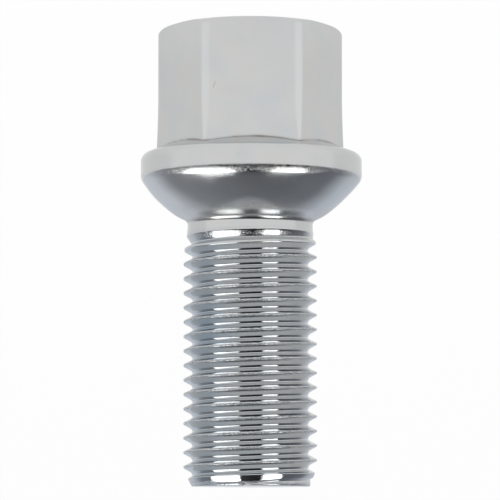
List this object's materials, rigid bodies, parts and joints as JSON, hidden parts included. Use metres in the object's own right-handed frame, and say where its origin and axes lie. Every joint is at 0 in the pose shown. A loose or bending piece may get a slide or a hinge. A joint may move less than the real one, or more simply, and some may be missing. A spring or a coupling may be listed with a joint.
{
  "type": "wheel bolt",
  "caption": "Zinc-plated steel wheel bolt with a hexagon head, round collar, ball seat, plain neck and threaded shank; clamps a wheel to its hub.",
  "frame": {"origin": "centre of the flat end of the head, on which the bolt stands", "axes": "+Z along the bolt's axis from the head to the threaded end, +X to a corner of the hexagon, +Y square to a flat"},
  "size_m": [0.023, 0.023, 0.0479],
  "materials": {
    "zinc_plated_steel": "bright zinc plating"
  },
  "bodies": {
    "root": {"wheel_bolt": "zinc_plated_steel"}
  },
  "joints": []
}
